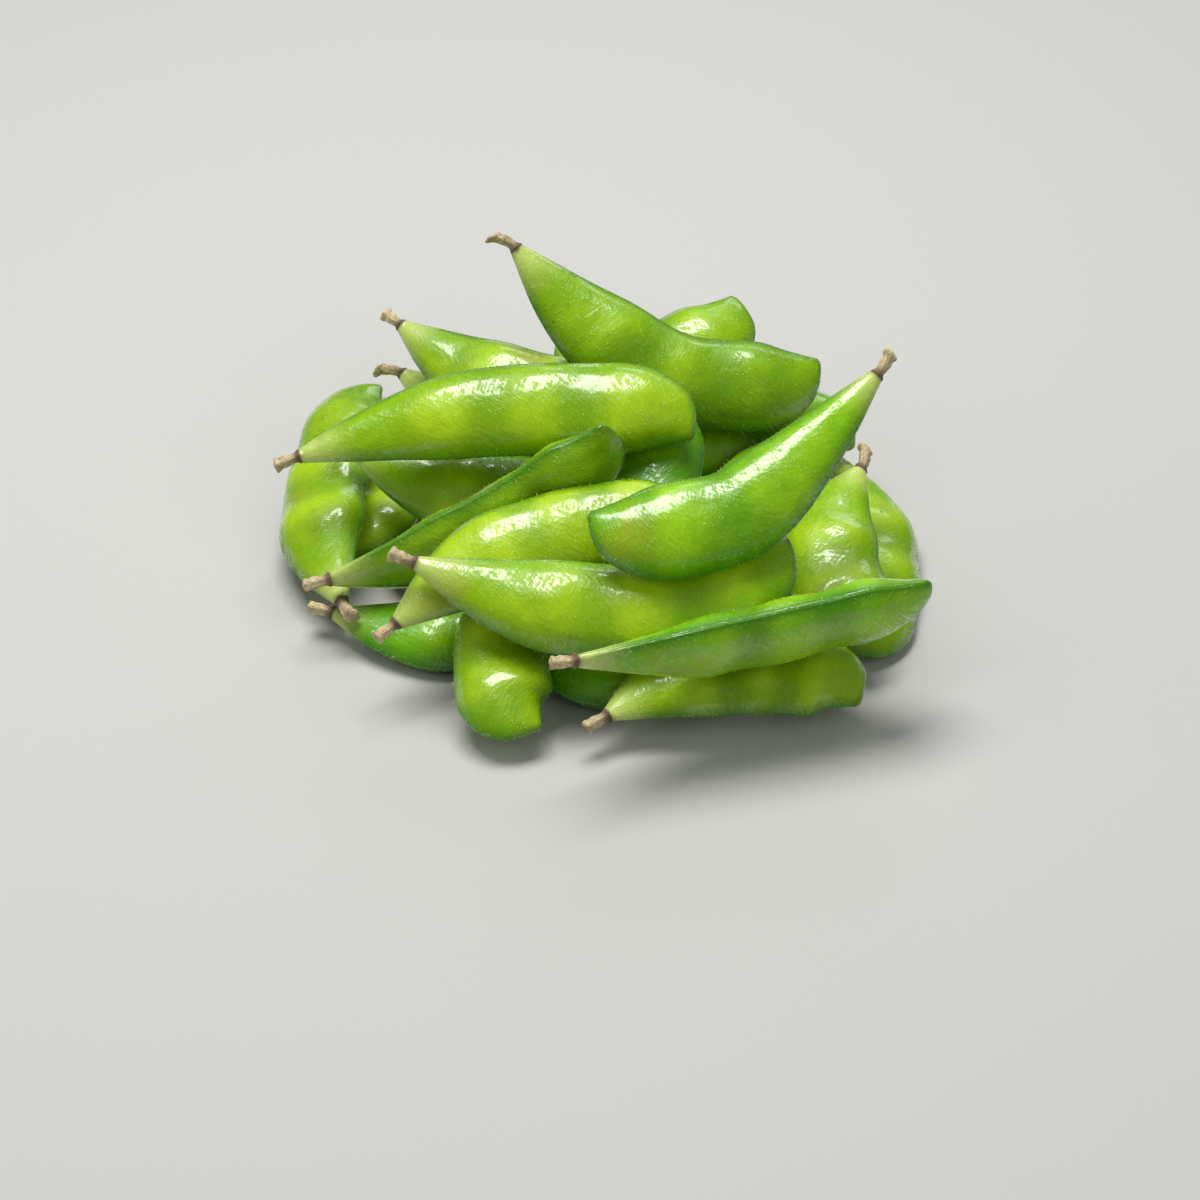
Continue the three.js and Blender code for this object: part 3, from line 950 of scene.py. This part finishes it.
@dataclass(frozen=True)
class Down:
    """The short hairs that stand on pods, thickest along their seams. Metres."""

    length: float = 0.0007
    root: float = 0.000045
    per_square_metre: float = 620000.0
    lean: float = 0.9
    seed: int = 5
    away_from_seams: float = 0.2
    seam_reach: float = 0.9  # millimetres
    shortest: float = 0.55  # of the full length
    colour: Colour = rgb(196, 208, 140)

    INPUTS = (
        ("Geometry", "Geometry"),
        ("Length", "Float"),
        ("Root", "Float"),
        ("Density", "Float"),
        ("Lean", "Float"),
        ("Seed", "Int"),
    )

    def grow(self, pods: list[bpy.types.Object]) -> bpy.types.Object:
        """Grows the hairs of all pods as one piece.

        Args:
            pods: The pods that they stand on.

        Returns:
            The hairs, as a plain mesh.
        """
        bed = self._bed(pods)
        surface = {"Base Color": self.colour, "Roughness": 0.5}
        tree = self._tree(SurfaceBench("pod_hairs").finish(surface))
        modifier = bed.modifiers.new("down", "NODES")
        modifier.node_group = tree
        sizes = {
            "Length": self.length,
            "Root": self.root,
            "Density": self.per_square_metre,
            "Lean": self.lean,
            "Seed": self.seed,
        }
        for item in tree.interface.items_tree:
            if item.in_out == "INPUT" and item.name in sizes:
                modifier[item.identifier] = sizes[item.name]
        shown = bed.evaluated_get(bpy.context.evaluated_depsgraph_get())
        mesh = bpy.data.meshes.new_from_object(shown)
        bed.modifiers.remove(modifier)
        bpy.data.objects.remove(bed)
        mesh.name = "pod_hairs"
        return placed_in_scene(mesh)

    def _bed(self, pods: list[bpy.types.Object]) -> bpy.types.Object:
        """All pods' skins as one mesh, with how thickly hairs stand at each point."""
        points, faces, thick = [], [], []
        first = 0
        for pod in pods:
            mesh = pod.data
            here = np.zeros(len(mesh.vertices) * 3)
            mesh.vertices.foreach_get("co", here)
            points.append(here.reshape(-1, 3))
            faces += [tuple(first + v for v in face.vertices) for face in mesh.polygons]
            first += len(mesh.vertices)
            values = {}
            for name in ("growth", "seam"):
                values[name] = np.zeros(len(mesh.vertices), np.float32)
                mesh.attributes[name].data.foreach_get("value", values[name])
            near = np.exp(-((values["seam"] / self.seam_reach) ** 2))
            share = self.away_from_seams + (1 - self.away_from_seams) * near
            thick.append(share * (values["growth"] > 0.02) * (points[-1][:, 2] > MM))
        mesh = bpy.data.meshes.new("hair_bed")
        mesh.from_pydata(np.vstack(points).tolist(), [], faces)
        layer = mesh.attributes.new("thick", "FLOAT", "POINT")
        layer.data.foreach_set("value", np.concatenate(thick).astype(np.float32))
        return placed_in_scene(mesh)

    def _tree(self, material: bpy.types.Material) -> bpy.types.NodeTree:
        """Thin cones that lean at random, scattered over a mesh by its thickness of hair."""
        tree = bpy.data.node_groups.new("down", "GeometryNodeTree")
        for name, kind in self.INPUTS:
            tree.interface.new_socket(name, in_out="INPUT", socket_type=f"NodeSocket{kind}")
        tree.interface.new_socket("Geometry", in_out="OUTPUT", socket_type="NodeSocketGeometry")
        bench = Bench(tree)
        bed, length, root, density, lean, seed = (
            bench.node("NodeGroupInput", {}, {}, name) for name, _ in self.INPUTS
        )
        named = {"Name": "thick"}
        thick = bench.node("GeometryNodeInputNamedAttribute", {"data_type": "FLOAT"}, named)
        points = bench.node(
            "GeometryNodeDistributePointsOnFaces",
            {},
            {"Mesh": bed, "Density": density * thick, "Seed": seed},
            "Points",
        )
        cone = bench.node(
            "GeometryNodeMeshCone", {}, {"Vertices": 3, "Radius Bottom": root, "Depth": length}
        )
        forth = bench.node("ShaderNodeCombineXYZ", {}, {"X": lean, "Y": lean})
        back = bench.node("ShaderNodeCombineXYZ", {}, {"X": lean * -1.0, "Y": lean * -1.0})
        chance = "FunctionNodeRandomValue"
        tilt = bench.node(chance, {"data_type": "FLOAT_VECTOR"}, {0: back, 1: forth, "Seed": seed})
        turn = bench.node(
            "FunctionNodeRotateRotation",
            {"rotation_space": "LOCAL"},
            {0: points.beside("Rotation"), 1: bench.node("FunctionNodeEulerToRotation", {}, {0: tilt})},
        )
        size = bench.node(chance, {}, {2: self.shortest, 3: 1.0, "Seed": seed}, 1)
        hairs = bench.node(
            "GeometryNodeInstanceOnPoints",
            {},
            {"Points": points, "Instance": cone, "Rotation": turn, "Scale": size},
        )
        real = bench.node("GeometryNodeRealizeInstances", {}, {0: hairs})
        dressed = bench.node("GeometryNodeSetMaterial", {}, {"Geometry": real, "Material": material})
        bench.feed(tree.nodes.new("NodeGroupOutput").inputs[0], dressed)
        return tree


@dataclass
class PodBundle:
    """The heap of pods: builds each pod's skin in its place and dresses it."""

    detail: SkinDetail = SkinDetail()
    stub_detail: StubDetail = StubDetail()
    down: Down = Down()
    seed: int = 41

    def build(self) -> list[bpy.types.Object]:
        """Builds every pod of the heap, and their hairs."""
        materials = {
            tone: finish.material(f"{tone.value}_skin") for tone, finish in FINISHES.items()
        }
        rng = np.random.default_rng(self.seed)
        made = []
        for number, pod in enumerate(LAID_PODS, start=1):
            made.append(self._pod(number, pod, materials[pod.tone], float(rng.uniform())))
        made.append(self._hairs(made))
        return made

    def _hairs(self, pods: list[bpy.types.Object]) -> bpy.types.Object:
        """Grows the hairs and makes them ride with the heap."""
        hairs = self.down.grow(pods)
        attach(hairs, "root")
        log.info("%s: %d faces", hairs.name, len(hairs.data.polygons))
        return hairs

    def _pod(
        self, number: int, pod: LaidPod, material: bpy.types.Material, tint: float
    ) -> bpy.types.Object:
        """Builds one pod and puts it in the place of its solid.

        Args:
            number: Its number, from 1.
            pod: How it is laid.
            material: Its finish.
            tint: Its own shade, from 0 to 1.

        Returns:
            The pod's object.
        """
        node = f"pod_{number:02d}"
        form = PodForm(pod, number)
        pose = PlaceFinder(form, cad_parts[node]).pose()
        skin = form.skin(self.detail, self.stub_detail)
        points = pose.applied(skin.points())
        points[:, 2] = np.maximum(points[:, 2], 0)
        mesh = bpy.data.meshes.new(f"{node}_skin")
        mesh.from_pydata(points.tolist(), [], skin.faces())
        mesh.polygons.foreach_set("use_smooth", [True] * len(mesh.polygons))
        inner, outer = (skin.spread_points(d) for d in skin.seam)
        self._carry(mesh, "growth", skin.spread(skin.growth))
        self._carry(mesh, "swell", skin.spread(skin.swell))
        self._carry(mesh, "seam", np.minimum(inner, outer))
        self._carry(mesh, "tint", np.full(len(points), tint))
        self._lay_grain(mesh, skin)
        mesh.materials.append(material)
        piece = placed_in_scene(mesh)
        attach(piece, "root")
        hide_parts(node)
        log.info("%s: %d faces", piece.name, len(mesh.polygons))
        return piece

    @staticmethod
    def _carry(mesh: bpy.types.Mesh, name: str, values: Array) -> None:
        """Stores a value for each point of a mesh."""
        layer = mesh.attributes.new(name, "FLOAT", "POINT")
        layer.data.foreach_set("value", values.astype(np.float32))

    @staticmethod
    def _lay_grain(mesh: bpy.types.Mesh, skin: PodSkin) -> None:
        """Lays a map over the skin that runs along and round the pod, in centimetres."""
        stations, sides = skin.rings.shape[:2]
        corners = np.zeros(len(mesh.loops), np.int64)
        mesh.loops.foreach_get("vertex_index", corners)
        step = np.linalg.norm(np.roll(skin.rings, -1, 1) - skin.rings, axis=2)
        round_way = np.concatenate([np.zeros((stations, 1)), np.cumsum(step, 1)], 1)
        totals = np.zeros(len(mesh.polygons), np.int32)
        mesh.polygons.foreach_get("loop_total", totals)
        face_of = np.repeat(np.arange(len(totals)), totals)
        row = np.minimum(corners // sides, stations - 1)
        column = corners % sides
        last = np.zeros(len(totals), bool)
        np.logical_or.at(last, face_of, column == sides - 1)
        column = np.where((column == 0) & last[face_of], sides, column)
        millimetres = np.stack([skin.along[row], round_way[row, column]], 1)
        layer = mesh.uv_layers.new(name="skin")
        layer.data.foreach_set("uv", (millimetres / 10).astype(np.float32).ravel())


@dataclass(frozen=True)
class SoftLight:
    """A soft rectangular light that faces the heap. Metres and watts."""

    name: str
    place: Triple
    wide: float
    high: float
    power: float
    colour: Triple
    mirrored: bool = True  # whether wet skin mirrors it

    def build(self) -> None:
        """Puts the light in its place."""
        data = bpy.data.lights.new(self.name, "AREA")
        data.shape = "RECTANGLE"
        data.size, data.size_y = self.wide, self.high
        data.energy, data.color = self.power, self.colour
        light = bpy.data.objects.new(self.name, data)
        light.location = self.place
        toward = Vector((0, 0, 0.02)) - Vector(self.place)
        light.rotation_euler = toward.to_track_quat("-Z", "Y").to_euler()
        light.visible_glossy = self.mirrored
        bpy.context.scene.collection.objects.link(light)


@dataclass(frozen=True)
class Studio:
    """A pale floor, a soft window above, and the camera. Metres and degrees."""

    camera_place: Triple = (0.00074, -0.4538, 0.339)
    camera_dip: float = 37.25
    lens: float = 100.65
    floor_size: float = 6.0
    floor_drop: float = 0.0001
    floor_colour: Colour = (0.47, 0.47, 0.46, 1)
    room_colour: Colour = (0.95, 0.97, 1.0, 1.0)
    room_strength: float = 0.11
    lights: tuple[SoftLight, ...] = (
        SoftLight("window", (-0.08, 0.13, 0.68), 0.50, 0.32, 5.9, (1.0, 0.99, 0.96)),
        SoftLight("sky_panel", (0.25, 0.75, 0.55), 0.6, 0.3, 1.2, (0.94, 0.98, 1.0)),
        SoftLight("side_fill", (-0.75, -0.25, 0.55), 0.7, 0.7, 1.8, (1.0, 1.0, 0.96), False),
        SoftLight("front_fill", (0.55, -0.7, 0.7), 0.8, 0.8, 3.0, (1.0, 1.0, 0.96), False),
    )

    def build(self) -> None:
        """Sets up floor, lights, room and camera."""
        self._floor()
        for light in self.lights:
            light.build()
        bpy.context.scene.view_settings.view_transform = "Standard"
        self._room()
        self._camera()

    def _floor(self) -> None:
        """A plain floor under the heap."""
        half = self.floor_size / 2
        corners = ((-half, -half), (half, -half), (half, half), (-half, half))
        mesh = bpy.data.meshes.new("floor")
        mesh.from_pydata([(x, y, -self.floor_drop) for x, y in corners], [], [(0, 1, 2, 3)])
        surface = {"Base Color": self.floor_colour, "Roughness": 0.7}
        mesh.materials.append(SurfaceBench("pale_floor").finish(surface))
        placed_in_scene(mesh)

    def _room(self) -> None:
        """An even, faint light from all round."""
        world = bpy.data.worlds.new("room")
        world.use_nodes = True
        background = world.node_tree.nodes["Background"]
        background.inputs["Color"].default_value = self.room_colour
        background.inputs["Strength"].default_value = self.room_strength
        bpy.context.scene.world = world

    def _camera(self) -> None:
        """The camera, at the photograph's angle."""
        data = bpy.data.cameras.new("camera")
        data.lens = self.lens
        data.clip_start, data.clip_end = 0.01, 20
        camera = bpy.data.objects.new("camera", data)
        camera.location = self.camera_place
        camera.rotation_euler = (math.radians(90 - self.camera_dip), 0, 0)
        bpy.context.scene.collection.objects.link(camera)
        bpy.context.scene.camera = camera


def main() -> None:
    """Builds the heap and the studio."""
    logging.basicConfig(level=logging.INFO, format="%(name)s: %(message)s")
    pieces = PodBundle().build()
    log.info("%d pieces", len(pieces))
    Studio().build()


if __name__ == "__main__":
    main()
